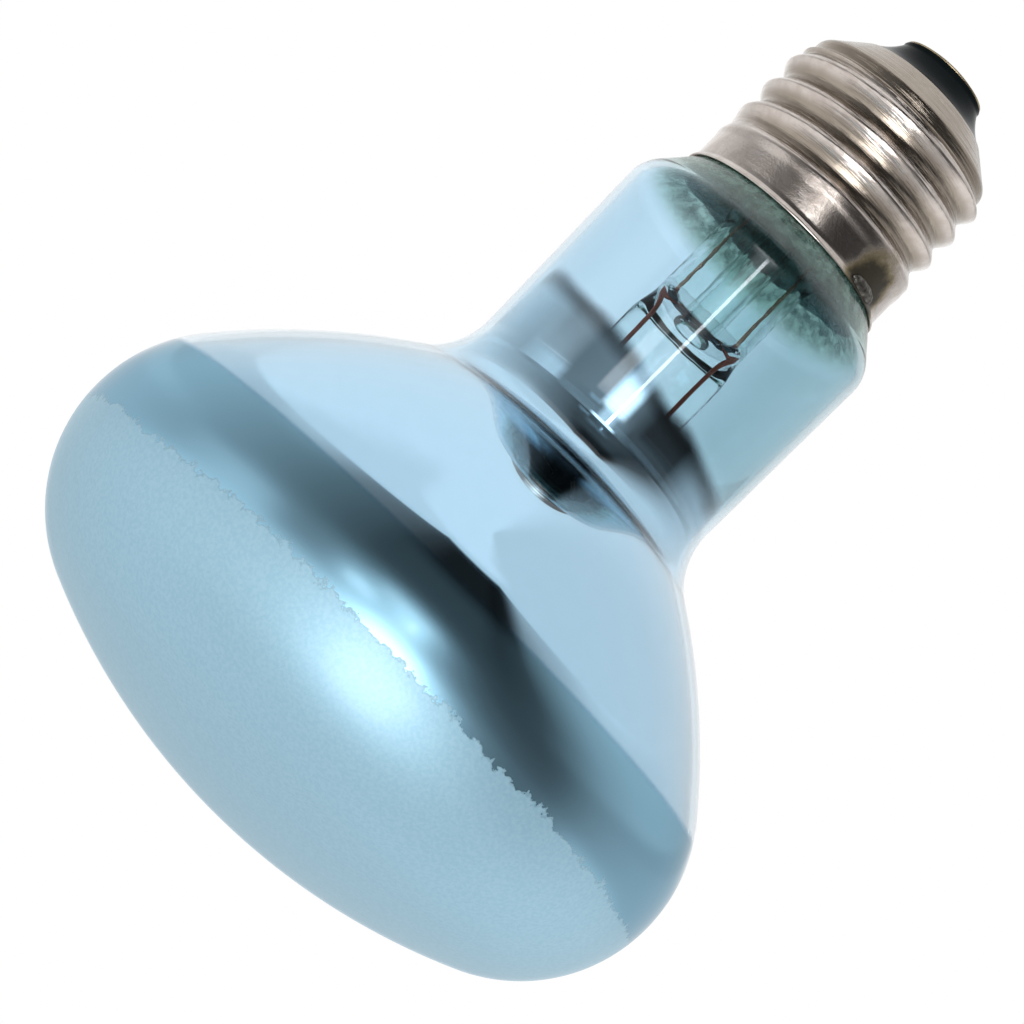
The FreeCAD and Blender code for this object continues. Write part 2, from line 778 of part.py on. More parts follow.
def wire(name, corners, bend, thickness, lift, turn=None, along_axis=True):
    """A round wire through corners (across, up), with arcs at its bends.

    It starts along the bulb's axis or across it.
    """
    body = new_body(name, lift, turn)
    path = new_sketch(body, f"{name}_path")
    points = [spot(*corner) for corner in corners]
    cuts = [points[0]]
    arcs = []
    for before, here, after in zip(points, points[1:], points[2:]):
        back = Vector(before - here).normalize()
        ahead = Vector(after - here).normalize()
        half_angle = back.getAngle(ahead) / 2
        trim = bend.value / math.tan(half_angle)
        middle = Vector(back + ahead).normalize()
        centre = here + middle * (bend.value / math.sin(half_angle))
        turn_side = 1 if back.x * ahead.y - back.y * ahead.x < 0 else -1
        cuts += [here + back * trim, here + ahead * trim]
        arcs.append((centre, turn_side))
    cuts.append(points[-1])
    lines = [
        path.addGeometry(Part.LineSegment(start, end), False) for start, end in zip(cuts[::2], cuts[1::2])
    ]
    for index, (centre, turn_side) in enumerate(arcs):
        start, end = cuts[2 * index + 1], cuts[2 * index + 2]
        angles = [direction(centre, start), direction(centre, end)][::turn_side]
        ends = (1, 2)[::turn_side]
        arc = path.addGeometry(arc_at(centre, bend.value, *angles), False)
        path.addConstraint(Sketcher.Constraint("Tangent", lines[index], 2, arc, ends[0]))
        path.addConstraint(Sketcher.Constraint("Tangent", arc, ends[1], lines[index + 1], 1))
        bind(path, "Radius", arc, size=bend)
        corner = path.addGeometry(Part.Point(points[index + 1]), True)
        pin(path, corner, 1, *corners[index + 1])
        path.addConstraint(Sketcher.Constraint("PointOnObject", corner, 1, lines[index]))
        path.addConstraint(Sketcher.Constraint("PointOnObject", corner, 1, lines[index + 1]))
    pin(path, lines[0], 1, *corners[0])
    pin(path, lines[-1], 2, *corners[-1])
    across, up = corners[0]
    if along_axis:
        section = new_sketch(body, f"{name}_section", "XY_Plane", up if isinstance(up, Size) else None)
        sketch_circle(section, across, 0, thickness)
    else:
        section = new_sketch(body, f"{name}_section", "YZ_Plane", across)
        sketch_circle(section, 0, up, thickness)
    doc.recompute()
    pipe = body.newObject("PartDesign::AdditivePipe", f"{name}_swept")
    pipe.Profile = (section, [""])
    pipe.Spine = (path, [f"Edge{index + 1}" for index in range(len(path.Shape.Edges))])
    path.Visibility = False
    section.Visibility = False
    return body


def stem_wires(side, turn):
    """On one side of the stem: the seal wire and the inner lead that hooks the filament's end."""
    upper = -s.stem_length + s.dumet_stub
    lower = press_foot - s.dumet_stub
    seal_wire = [(s.lead_spacing, upper), (s.lead_spacing, lower)]
    dumet = wire(f"dumet_{side}", seal_wire, None, s.dumet_radius, seal_z, turn)
    hook = s.filament_coil + s.lead_radius + s.hook_gap
    path = [
        (s.lead_spacing, lower),
        (s.lead_spacing, lower - s.lead_knee),
        (s.filament_ring + hook, filament_z + 3 * hook),
        (s.filament_ring + hook, filament_z - hook),
        (s.filament_ring - hook, filament_z - hook),
        (s.filament_ring - hook, filament_z + hook),
    ]
    lead = wire(f"lead_{side}", path, hook * HOOK_BEND, s.lead_radius, seal_z, turn)
    return [dumet, lead]


def outer_lead_centre(turn):
    """The lead from the press through the insulator to the end contact."""
    start = -s.stem_length + s.dumet_stub
    bend_low = s.exhaust_reach - s.exhaust_radius
    bend_high = end_cone_z - s.insulator_floor - s.seal_depth - s.outer_lead_bend / 2
    path = [
        (s.lead_spacing, start),
        (s.lead_spacing, bend_low),
        (0, bend_high),
        (0, plate_top_z - s.solder_dip - s.seal_depth),
    ]
    return wire("outer_lead_centre", path, s.outer_lead_bend, s.outer_lead_radius, seal_z, turn)


def outer_lead_side():
    """The lead from the press over the neck's rim and down inside the shell, in one upright plane."""
    start = -s.stem_length + s.dumet_stub
    run_x = shell_lead_radius() * cosine(s.side_solder_turn) - s.lead_spacing
    run_y = shell_lead_radius() * sine(s.side_solder_turn)
    run = root(run_x * run_x + run_y * run_y)
    crest = s.stem_wall + s.outer_lead_bend
    path = [(0, start), (0, crest), (run, crest), (run, s.shell_lead_foot - s.seal_depth)]
    turn = arctangent(run_y / run_x)
    lead = wire("outer_lead_side", path, s.outer_lead_bend, s.outer_lead_radius, seal_z, turn)
    lead.setExpression("Placement.Base.x", s.lead_spacing.text)
    return lead


def filament():
    """The coiled filament as a smooth half ring of the coil's outer size, lying level round the axis."""
    body = new_body("filament", seal_z, -90)
    section = new_sketch(body, "filament_section")
    sketch_circle(section, s.filament_ring, filament_z, s.filament_coil)
    revolve(body, section, s.filament_sweep)
    return body


def support_wire(index, turn):
    """A fine wire from the button out to the filament, ending in an open eye round the coil."""
    eye = s.filament_coil + s.support_radius + s.hook_gap
    path = [
        (s.button_radius - s.support_seat, button_z),
        (s.filament_ring - 3 * eye, button_z),
        (s.filament_ring + eye, filament_z + 3 * eye),
        (s.filament_ring + eye, filament_z - eye),
        (s.filament_ring - eye, filament_z - eye),
        (s.filament_ring - eye, filament_z + eye),
    ]
    name = f"support_wire_{index}"
    return wire(name, path, eye * HOOK_BEND, s.support_radius, seal_z, turn, along_axis=False)


pieces = [
    glass_envelope(),
    mirror_coating(),
    cap_shell(),
    cap_insulator(),
    contact_plate(),
    centre_solder(),
    side_solder(),
    basing_cement(),
    stem_tube(),
    exhaust_tube(),
    arbor(),
    filament(),
    outer_lead_centre(180),
    outer_lead_side(),
]
pieces += stem_wires("right", 0) + stem_wires("left", 180)
for index in range(SUPPORTS):
    pieces.append(support_wire(index + 1, (index - 1) * s.support_spread - 90))

doc.recompute()
for item in doc.Objects:
    if {"Invalid", "Error"} & set(item.State):
        raise RuntimeError(f"{item.Label} failed: {item.State}")
for piece in pieces:
    if piece.Shape.isNull() or not piece.Shape.isValid():
        raise RuntimeError(f"{piece.Label} has no valid shape")

os.makedirs("parts", exist_ok=True)
for piece in pieces:
    piece.Shape.exportStep(f"parts/{piece.Label}.step")
    box = piece.Shape.BoundBox
    heights = f"z {box.ZMin:.2f} to {box.ZMax:.2f}"
    print(f"{piece.Label}: {len(piece.Shape.Solids)} solid, {piece.Shape.Volume:.2f} mm3, {heights}")
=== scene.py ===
import math

import bmesh
import bpy
from mathutils import Matrix, Vector, noise


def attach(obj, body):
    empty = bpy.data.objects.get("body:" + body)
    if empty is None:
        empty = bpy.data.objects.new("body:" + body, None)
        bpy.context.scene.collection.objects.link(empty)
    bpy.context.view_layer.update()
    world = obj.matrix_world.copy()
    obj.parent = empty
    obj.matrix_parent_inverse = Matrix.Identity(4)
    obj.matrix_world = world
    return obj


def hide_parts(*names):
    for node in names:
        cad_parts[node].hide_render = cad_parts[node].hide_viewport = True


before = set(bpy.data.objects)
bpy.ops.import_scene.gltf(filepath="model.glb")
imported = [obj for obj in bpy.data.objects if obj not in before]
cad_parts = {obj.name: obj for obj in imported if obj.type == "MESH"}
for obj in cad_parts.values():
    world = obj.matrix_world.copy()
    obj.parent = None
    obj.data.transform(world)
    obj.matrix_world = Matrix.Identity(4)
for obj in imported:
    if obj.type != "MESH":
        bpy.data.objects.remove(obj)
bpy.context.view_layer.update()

# Lengths are in millimetres and angles in degrees. A mesh turns to metres when it becomes a piece.
# The bulb stands on its domed face with its axis along Z, and its front is at -Y.
MM = 0.001

# Glass: centres (radius, height) and turns of the outline's arcs, and where its straight runs end
FACE_RADIUS = 73.0
FACE_TURN = 23.5099
RIM_CENTRE = (21.9, 22.6572)
RIM_TURN = 105.1247
BOWL_CENTRE = (-25.6717, -15.3658)
BOWL_TURN = 16.0538
THROAT_CENTRE = (25.31, 56.6072)
THROAT_TURN = -55.9884
NECK_TOP = (16.606, 78.5664)
SHOULDER_CENTRE = (12.607, 78.6572)
SHOULDER_TURN = 41.3
SEAL_CONE_END = (11.668, 85.999)
SEAL_BEND_CENTRE = (13.2, 87.2845)
SEAL_BEND_TURN = -50.0
SEAL_RADIUS = 11.2
SEAL_TOP = 90.4998
GLASS_WALL = 0.8

# Mirror film: it starts on the rim's arc, a little above the widest part, and ends in the neck
FILM_FOOT = (39.148, 22.4)
FILM_RIM_TURN = 39.49
FILM_BOWL_TURN = 17.1455
FILM_THROAT_CENTRE = (22.1017, 54.8781)
FILM_THROAT_TURN = -57.0801
FILM_END = (15.055, 65.95)
FILM_WALL = 0.06

# Where the finish changes: height at the axis, and how it rises along X and Y
FROST_EDGE = (20.28, -0.0113, 0.0025)
SATIN_EDGE = (31.55, 0.0045, 0.0486)
FILM_TOP = (61.2, -0.2, 0.0)

# Cap
CAP_EDGE = 84.4
CAP_WALL = 0.3
LIP_RADIUS = 13.35
SKIRT_RADIUS = 12.95
SKIRT_TOP = 87.37
CREST_RADIUS = 13.08
THREAD_DEPTH = 1.05
THREAD_TOP = 101.97
PITCH = 3.629
GROOVE_START = 90.2
GROOVE_TURN = 150.0
CAP_END_RADIUS = 12.05
CONE_FOOT = 102.97
END_HOLE_RADIUS = 8.69
END_HOLE_HEIGHT = 106.33
STAIN_CENTRE = (9.7, -8.7, 85.3)

# Contact
CONTACT_HOLE = 1.1
CONTACT_RADIUS = 5.2
CONTACT_FOOT = 109.97
CONTACT_TOP = 110.8
TOP = 111.03

# Stem
STEM_RADIUS = 5.9
STEM_BORE = 5.0
STEM_FOOT = 62.13
PRESS_TOP = 72.0
PRESS_FLAT = 68.6

# Filament
RING_RADIUS = 7.0
RING_HEIGHT = 41.63
COIL_RADIUS = 0.29
COIL_TURNS = 150
WIRE_RADIUS = 0.055


# Meshes


class Outline:
    """A line in the XZ plane, drawn from its tip with straight runs and arcs."""

    def __init__(self, r, z):
        self.mesh = bmesh.new()
        self.tip = self.mesh.verts.new((r, 0, z))

    def line(self, r, z, parts=1):
        start = self.tip.co.copy()
        end = Vector((r, 0, z))
        for part in range(parts):
            grown = bmesh.ops.extrude_vert_indiv(self.mesh, verts=[self.tip])
            self.tip = grown["verts"][0]
            self.tip.co = start.lerp(end, (part + 1) / parts)

    def path(self, *stops):
        """Straight runs to stops of (radius, height) or (radius, height, parts)."""
        for stop in stops:
            self.line(*stop)

    def arc(self, centre, turn, parts):
        """Turns the tip about a centre, counterclockwise where Z points up and X to the right."""
        swept = bmesh.ops.spin(
            self.mesh,
            geom=[self.tip],
            cent=(centre[0], 0, centre[1]),
            axis=(0, -1, 0),
            angle=math.radians(turn),
            steps=parts,
        )
        self.tip = [item for item in swept["geom_last"] if isinstance(item, bmesh.types.BMVert)][0]

    def turned(self, steps, closed=False):
        """The surface that the line sweeps in a full turn about Z."""
        if closed:
            ends = [v for v in self.mesh.verts if len(v.link_edges) == 1]
            self.mesh.edges.new(ends)
        bmesh.ops.spin(
            self.mesh,
            geom=self.mesh.verts[:] + self.mesh.edges[:],
            cent=(0, 0, 0),
            axis=(0, 0, 1),
            angle=math.tau,
            steps=steps,
            use_merge=True,
        )
        bmesh.ops.remove_doubles(self.mesh, verts=self.mesh.verts, dist=0.0005)
        bmesh.ops.recalc_face_normals(self.mesh, faces=self.mesh.faces)
        return self.mesh


def piece(name, mesh, finish, replaced, sharp=35):
    """Turns a mesh in millimetres into a piece of the bulb."""
    bmesh.ops.scale(mesh, vec=(MM, MM, MM), verts=mesh.verts)
    data = bpy.data.meshes.new(name)
    mesh.to_mesh(data)
    mesh.free()
    data.materials.append(finish)
    data.shade_smooth()
    data.set_sharp_from_angle(angle=math.radians(sharp))
    item = bpy.data.objects.new(name, data)
    bpy.context.scene.collection.objects.link(item)
    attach(item, "root")
    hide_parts(*replaced)


def walled(mesh, thickness):
    """Gives an open sheet, whose faces point out, a wall on its inner side."""
    bmesh.ops.solidify(mesh, geom=mesh.faces[:], thickness=thickness)
    return mesh


def smooth(low, high, value):
    """Rises smoothly from 0 to 1 as the value goes from low to high."""
    share = min(max((value - low) / (high - low), 0), 1)
    return share * share * (3 - 2 * share)


# Finishes


def feed(tree, entry, value):
    """Links a node's input to a field, or sets it to a number or a colour."""
    if isinstance(value, Field):
        tree.links.new(value.socket, entry)
    elif hasattr(entry.default_value, "__len__") and not hasattr(value, "__len__"):
        entry.default_value = [value] * len(entry.default_value)
    elif hasattr(value, "__len__") and len(entry.default_value) == 4 and len(value) == 3:
        entry.default_value = (*value, 1)
    else:
        entry.default_value = value


class Field:
    """A node's output. Arithmetic on it adds Math nodes."""

    def __init__(self, tree, socket):
        self.tree = tree
        self.socket = socket

    def maths(self, operation, *others):
        """A Math node with this value first."""
        node = self.tree.nodes.new("ShaderNodeMath")
        node.operation = operation
        for entry, value in zip(node.inputs, (self, *others)):
            feed(self.tree, entry, value)
        return Field(self.tree, node.outputs[0])

    def __add__(self, other):
        return self.maths("ADD", other)

    def __radd__(self, other):
        return self.maths("ADD", other)

    def __sub__(self, other):
        return self.maths("SUBTRACT", other)

    def __rsub__(self, other):
        return self.maths("MULTIPLY", -1.0).maths("ADD", other)

    def __mul__(self, other):
        return self.maths("MULTIPLY", other)

    def __rmul__(self, other):
        return self.maths("MULTIPLY", other)

    def __truediv__(self, other):
        return self.maths("DIVIDE", other)

    def ramp(self, low, high, start=0.0, end=1.0):
        """Rises smoothly from start to end as the value goes from low to high."""
        node = self.tree.nodes.new("ShaderNodeMapRange")
        node.interpolation_type = "SMOOTHSTEP"
        for entry, value in zip(node.inputs, (self, low, high, start, end)):
            feed(self.tree, entry, value)
        return Field(self.tree, node.outputs[0])

    def window(self, low, full, fading, high):
        """Rises smoothly to 1 from low to full, and falls back to 0 from fading to high."""
        return self.ramp(low, full) * self.ramp(fading, high, 1, 0)


class Shader:
    """The nodes of one material or of the world."""

    def __init__(self, tree):
        self.tree = tree
        tree.nodes.clear()

    def node(self, kind, settings=None, output=0, **entries):
        """Adds a node with its settings and inputs. An input is named with _ for a space, or i and its number."""
        node = self.tree.nodes.new("ShaderNode" + kind)
        for name, value in (settings or {}).items():
            if name == "stops":
                stops = node.color_ramp.elements
                while len(stops) < len(value):
                    stops.new(0.5)
                for stop, (place, level) in zip(stops, value):
                    stop.position = place
                    stop.color = (level, level, level, 1)
            else:
                setattr(node, name, value)
        for name, value in entries.items():
            key = int(name[1:]) if name[0] == "i" and name[1:].isdigit() else name.replace("_", " ")
            feed(self.tree, node.inputs[key], value)
        return Field(self.tree, node.outputs[output])

    def place(self):
        """The point on the object, in millimetres."""
        point = self.node("TexCoord", output="Object")
        return self.node("VectorMath", {"operation": "SCALE"}, Vector=point, Scale=1 / MM)

    def parts(self, vector):
        split = self.tree.nodes.new("ShaderNodeSeparateXYZ")
        feed(self.tree, split.inputs[0], vector)
        return [Field(self.tree, out) for out in split.outputs]

    def grain(self, vector, scale, detail, roughness=0.5):
        return self.node("TexNoise", Vector=vector, Scale=scale, Detail=detail, Roughness=roughness)

    def mix(self, share, first, second):
        """A colour between two others."""
        return self.node("Mix", {"data_type": "RGBA"}, output=2, i0=share, i6=first, i7=second)

    def bump(self, height, distance, strength):
        return self.node("Bump", Strength=strength, Distance=distance, Height=height)

    def surface(self, **entries):
        return self.node("BsdfPrincipled", **entries)

    def blend(self, share, first, second):
        """A shader between two others."""
        return self.node("MixShader", i0=share, i1=first, i2=second)

    def finish(self, shader, target="OutputMaterial"):
        out = self.tree.nodes.new("ShaderNode" + target)
        self.tree.links.new(shader.socket, out.inputs["Surface"])


def material(name):
    data = bpy.data.materials.new(name)
    data.use_nodes = True
    return data, Shader(data.node_tree)


def lets_light_in(make, glass, tint):
    """The same glass, but lamps and sky shine straight through it."""
    shadow = make.node("LightPath", output="Is Shadow Ray")
    return make.blend(shadow, glass, make.node("BsdfTransparent", Color=tint))


def plane_height(edge, x, y):
    return edge[0] + x * edge[1] + y * edge[2]


def bulb_glass():
    """Blue glass: frosted over the face, satin over the rim, and clear over the mirror film and in the neck."""
    data, make = material("blue_glass")
    point = make.place()
    x, y, z = make.parts(point)
    teeth = make.grain(point, 0.75, 3.0, 0.65) - 0.5
    ripple = make.grain(point, 0.12, 1.0) - 0.5
    speck = make.grain(point, 2.4, 2.0, 0.6)
    # The film shows below the satin zone as far as an edge torn into small teeth
    film_gap = z - plane_height(FROST_EDGE, x, y) - teeth * 3.2 - ripple * 1.2
    film = film_gap.ramp(-0.06, 0.06)
    torn_line = film_gap.ramp(-0.3, -0.05) * (1 - film)
    clear_gap = z - plane_height(SATIN_EDGE, x, y)
    clear = clear_gap.ramp(-0.5, 0.3)
    haze = clear_gap.ramp(-9.0, -0.4)
    face_colour = make.mix(speck.ramp(0.3, 0.7), (0.34, 0.57, 0.71), (0.39, 0.62, 0.75))
    satin_colour = make.mix(haze, (0.33, 0.60, 0.78), (0.30, 0.57, 0.74))
    colour = make.mix(film, face_colour, satin_colour)
    colour = make.mix(torn_line * 0.3, colour, (0.10, 0.20, 0.26))
    satin_roughness = clear_gap.ramp(-6.0, -0.4, 0.26, 0.07)
    frosted = make.surface(
        Base_Color=colour,
        Metallic=film * 0.55 + 0.45,
        Roughness=make.mix(film, 0.46, satin_roughness),
        Specular_Tint=(0.52, 0.58, 0.61),
        Coat_Weight=film.ramp(0, 1, 0.25, 0.3),
        Coat_Roughness=0.05,
    )
    # The neck darkens toward the cap, and toward the right it is painted darker: a painted shade on its shaded
    # side
    neck_right_shade = x.ramp(-2.0, 11.0) * z.ramp(56, 62) * 0.62
    tint = make.mix(neck_right_shade, (0.725, 0.885, 0.985), (0.42, 0.60, 0.65))
    tint = make.mix(z.ramp(79.8, 82.6), tint, (0.40, 0.58, 0.52))
    glass = make.surface(Base_Color=tint, Roughness=0.0, IOR=1.5, Transmission_Weight=1.0)
    glass = lets_light_in(make, glass, (0.72, 0.86, 0.94))
    # Round the seal the glass has fused into cloudy green blotches
    blotch = make.grain(point, 0.65, 4.0, 0.65)
    green = make.mix(speck, (0.08, 0.15, 0.12), (0.22, 0.34, 0.31))
    fused = make.surface(Base_Color=green, Roughness=0.3)
    glass = make.blend(z.ramp(80.8, 83.2) * blotch.ramp(0.35, 0.65, 0.1, 0.7), glass, fused)
    make.finish(make.blend(clear, frosted, glass))
    return data


def mirror_film():
    """Evaporated aluminium on the inside of the glass, thin and dark along its edge in the neck."""
    data, make = material("mirror_film")
    point = make.place()
    x, y, z = make.parts(point)
    cloud = make.grain(point, 0.09, 2.0, 0.6) - 0.5
    bare_gap = z - plane_height(FILM_TOP, x, y) - cloud * 2.5
    bare = bare_gap.ramp(-0.9, 1.2)
    thin = bare_gap.ramp(-2.4, -0.4)
    haze = make.grain(point, 0.5, 3.0)
    bright = make.mix(haze, (0.84, 0.91, 0.94), (0.88, 0.94, 0.97))
    colour = make.mix(thin, bright, (0.30, 0.33, 0.35))
    film = make.surface(Base_Color=colour, Metallic=1.0, Roughness=haze * 0.03)
    make.finish(make.blend(bare, film, make.node("BsdfTransparent")))
    return data


def nickel_plate():
    """Nickel plate on the cap: warm grey, brushed by use, pitted on the skirt and stained by the flux, with
    painted shade in the thread's grooves.
    """
    data, make = material("nickel_plate")
    point = make.place()
    x, y, z = make.parts(point)
    radius = (x * x + y * y).maths("SQRT")
    wear = make.grain(point, 0.35, 4.0, 0.6)
    rolled = make.node("CombineXYZ", X=x * 0.12, Y=y * 0.12, Z=z * 2.6)
    rings = make.grain(rolled, 1.0, 3.0, 0.65)
    speck = make.grain(point, 5.0, 3.0, 0.7)
    groove = radius.ramp(12.15, 12.9, 1, 0) * z.ramp(88.0, 89.0)
    skirt = z.ramp(89.2, 90.0, 1, 0)
    # The flux ran out round the side solder and burnt at its middle
    across, along, up = (part - centre for part, centre in zip((x, y, z), STAIN_CENTRE))
    away = (across * across + along * along + up * up * 0.8).maths("SQRT") - (wear - 0.5) * 3.0
    flux = away.ramp(3.3, 4.9, 1, 0)
    burnt = away.ramp(2.7, 3.9, 1, 0)
    colour = make.mix(wear.ramp(0.35, 0.7), (0.66, 0.60, 0.56), (0.55, 0.485, 0.44))
    # The thread's grooves are painted a darker brown: painted shade in the hollows
    colour = make.mix(groove * 0.75, colour, (0.27, 0.225, 0.17))
    colour = make.mix(speck.ramp(0.52, 0.75) * skirt * 0.5, colour, (0.34, 0.30, 0.27))
    colour = make.mix(flux * 0.8, colour, (0.17, 0.125, 0.03))
    colour = make.mix(burnt * 0.85, colour, (0.016, 0.016, 0.015))
    bumps = rings * (1 - skirt * 0.9) + speck * (skirt * 0.1 + 0.05) + wear * 0.5
    make.finish(
        make.surface(
            Base_Color=colour,
            Metallic=1 - flux * 0.3,
            Roughness=wear.ramp(0.3, 0.75, 0.08, 0.17) + groove * 0.05 + flux * 0.25,
            Normal=make.bump(bumps, 0.00011, 0.9),
        )
    )
    return data


def black_glass():
    """Black glass with a soft gloss and a little dust."""
    data, make = material("black_glass")
    point = make.place()
    swirl = make.grain(point, 0.25, 3.0)
    dust = make.grain(point, 6.0, 2.0, 0.7)
    colour = make.mix(swirl, (0.003, 0.005, 0.006), (0.007, 0.010, 0.011))
    make.finish(
        make.surface(
            Base_Color=make.mix(dust.ramp(0.62, 0.8) * 0.3, colour, (0.06, 0.07, 0.07)),
            Roughness=swirl.ramp(0.3, 0.7, 0.10, 0.22),
            IOR=1.08,
            Normal=make.bump(swirl, 0.0002, 0.3),
        )
    )
    return data


def metal(name, bright, dull, roughness, scale, depth=0.00003):
    """A plain metal whose colour and gloss wander a little."""
    data, make = material(name)
    wear = make.grain(make.place(), scale, 4.0, 0.6)
    make.finish(
        make.surface(
            Base_Color=make.mix(wear.ramp(0.3, 0.7), bright, dull),
            Metallic=1.0,
            Roughness=wear.ramp(0.2, 0.8, roughness * 0.7, roughness * 1.3),
            Normal=make.bump(wear, depth, 0.5),
        )
    )
    return data


def cement():
    """Crumbly brown cement."""
    data, make = material("basing_cement")
    crumbs = make.grain(make.place(), 1.6, 5.0, 0.7)
    make.finish(
        make.surface(
            Base_Color=make.mix(crumbs, (0.36, 0.27, 0.16), (0.55, 0.46, 0.31)),
            Roughness=crumbs.ramp(0, 1, 0.8, 0.98),
            Normal=make.bump(crumbs, 0.0003, 0.8),
        )
    )
    return data


def stem_glass():
    """Clear lead glass, a little green where it is thick."""
    data, make = material("stem_glass")
    ripple = make.grain(make.place(), 0.3, 2.0)
    glass = make.surface(
        Base_Color=make.mix(ripple, (0.86, 0.94, 0.92), (0.90, 0.96, 0.95)),
        Roughness=0.02,
        IOR=1.3,
        Transmission_Weight=1.0,
        Normal=make.bump(ripple, 0.0004, 0.3),
    )
    make.finish(lets_light_in(make, glass, (0.82, 0.92, 0.88)))
    return data


def oxide_wire():
    """Copper with a dark red skin of oxide."""
    data, make = material("copper_clad_wire")
    oxide = make.grain(make.place(), 1.5, 3.0)
    make.finish(
        make.surface(
            Base_Color=make.mix(oxide, (0.35, 0.05, 0.03), (0.55, 0.13, 0.07)),
            Metallic=0.6,
            Roughness=oxide.ramp(0.2, 0.8, 0.3, 0.5),
        )
    )
    return data


FINISHES = {
    "glass": bulb_glass(),
    "film": mirror_film(),
    "nickel": nickel_plate(),
    "black": black_glass(),
    "brass": metal("contact_brass", (0.52, 0.42, 0.25), (0.34, 0.27, 0.17), 0.35, 0.6),
    "solder": metal("solder", (0.56, 0.55, 0.53), (0.30, 0.28, 0.25), 0.4, 0.9, 0.0002),
    "burnt": metal("burnt_solder", (0.20, 0.19, 0.17), (0.05, 0.045, 0.04), 0.45, 1.1, 0.0003),
    "cement": cement(),
    "stem": stem_glass(),
    "oxide": oxide_wire(),
    "copper": metal("copper_wire", (0.80, 0.40, 0.26), (0.62, 0.28, 0.16), 0.3, 0.8),
    "nickel_wire": metal("nickel_wire", (0.68, 0.66, 0.62), (0.52, 0.50, 0.46), 0.22, 0.8),
    "molybdenum": metal("molybdenum_wire", (0.52, 0.52, 0.53), (0.40, 0.40, 0.41), 0.25, 1.0),
    "tungsten": metal("tungsten_wire", (0.30, 0.30, 0.31), (0.18, 0.18, 0.19), 0.35, 2.0),
}


# The pieces


def make_bulb():
    """The glass, from the middle of the face to the rim of the neck."""
    outline = Outline(0, 0)
    outline.arc((0, FACE_RADIUS), FACE_TURN, 26)
    outline.arc(RIM_CENTRE, RIM_TURN, 56)
    outline.arc(BOWL_CENTRE, BOWL_TURN, 26)
    outline.arc(THROAT_CENTRE, THROAT_TURN, 22)
    outline.line(*NECK_TOP, 16)
    outline.arc(SHOULDER_CENTRE, SHOULDER_TURN, 12)
    outline.line(*SEAL_CONE_END, 2)
    outline.arc(SEAL_BEND_CENTRE, SEAL_BEND_TURN, 6)
    outline.line(SEAL_RADIUS, SEAL_TOP, 2)
    mesh = walled(outline.turned(160), GLASS_WALL)
    piece("bulb", mesh, FINISHES["glass"], ["glass_envelope"])


def make_film():
    """The film on the inside of the glass, with a torn edge by the face and a ragged one in the neck."""
    outline = Outline(*FILM_FOOT)
    outline.arc(RIM_CENTRE, FILM_RIM_TURN, 20)
    outline.arc(BOWL_CENTRE, FILM_BOWL_TURN, 20)
    outline.arc(FILM_THROAT_CENTRE, FILM_THROAT_TURN, 24)
    outline.line(*FILM_END, 5)
    mesh = outline.turned(160)
    for vertex in mesh.verts:
        if vertex.co.z < FILM_FOOT[1] + 0.2:
            vertex.co.z -= 0.8 * noise.noise(vertex.co * 0.7)
    piece("film", walled(mesh, FILM_WALL), FINISHES["film"], ["mirror_coating"])


def thread_radius(co):
    """How far out the rolled thread lies at a point of the cap."""
    share = (math.degrees(math.atan2(co.y, co.x)) - GROOVE_TURN) / 360
    rise = (co.z - GROOVE_START) / PITCH - share
    turns = round(rise) + share
    away = rise - round(rise)
    # The groove runs in over a third of a turn, and runs out below the thread's top
    fade = smooth(-0.05, 0.3, turns) * smooth(THREAD_TOP + 0.4, THREAD_TOP - 1.2, co.z)
    crest = SKIRT_RADIUS + (CREST_RADIUS - SKIRT_RADIUS) * smooth(88.0, 89.2, co.z)
    return crest - THREAD_DEPTH * fade * (0.5 + 0.5 * math.cos(math.tau * away)) ** 0.75


def make_cap():
    """The rolled shell: a turned lip, a plain skirt, the thread, and a cone in to the black glass."""
    outline = Outline(LIP_RADIUS - 0.05, CAP_EDGE)
    outline.arc((LIP_RADIUS - 0.1, CAP_EDGE + 0.1), 60, 3)
    outline.path(
        (LIP_RADIUS - 0.08, CAP_EDGE + 0.3),
        (SKIRT_RADIUS + 0.08, CAP_EDGE + 0.6, 2),
        (SKIRT_RADIUS, CAP_EDGE + 0.8),
        (SKIRT_RADIUS, SKIRT_TOP, 5),
        (SKIRT_RADIUS, THREAD_TOP, 112),
        (CAP_END_RADIUS, CONE_FOOT - 0.1, 4),
    )
    outline.arc((CAP_END_RADIUS - 0.9, CONE_FOOT - 0.1), 45, 6)
    outline.line(END_HOLE_RADIUS, END_HOLE_HEIGHT, 4)
    mesh = outline.turned(180)
    for vertex in mesh.verts:
        co = vertex.co
        if SKIRT_TOP - 0.07 < co.z < CONE_FOOT - 0.2:
            bend = smooth(THREAD_TOP - 0.9, THREAD_TOP + 0.1, co.z)
            limit = CREST_RADIUS - (CREST_RADIUS - CAP_END_RADIUS) * bend
            co.xy *= min(thread_radius(co), limit) / co.xy.length
    piece("cap", walled(mesh, CAP_WALL), FINISHES["nickel"], ["cap_shell"])


def make_insulator():
    """The black glass end, pressed with a waist below the contact."""
    outline = Outline(CONTACT_HOLE, 103.0)
    outline.path(
        (11.0, 102.4, 3),
        (11.6, 102.9),
        (8.45, END_HOLE_HEIGHT - 0.25, 3),
        (8.62, END_HOLE_HEIGHT + 0.02),
    )
    outline.arc((13.27, 114.06), -29.3, 10)
    outline.path(
        (5.5, CONTACT_FOOT - 0.12),
        (5.45, CONTACT_FOOT - 0.02),
        (5.4, CONTACT_FOOT),
        (CONTACT_HOLE, CONTACT_FOOT, 3),
    )
    mesh = outline.turned(96, closed=True)
    piece("cap_end", mesh, FINISHES["black"], ["cap_insulator"], sharp=60)


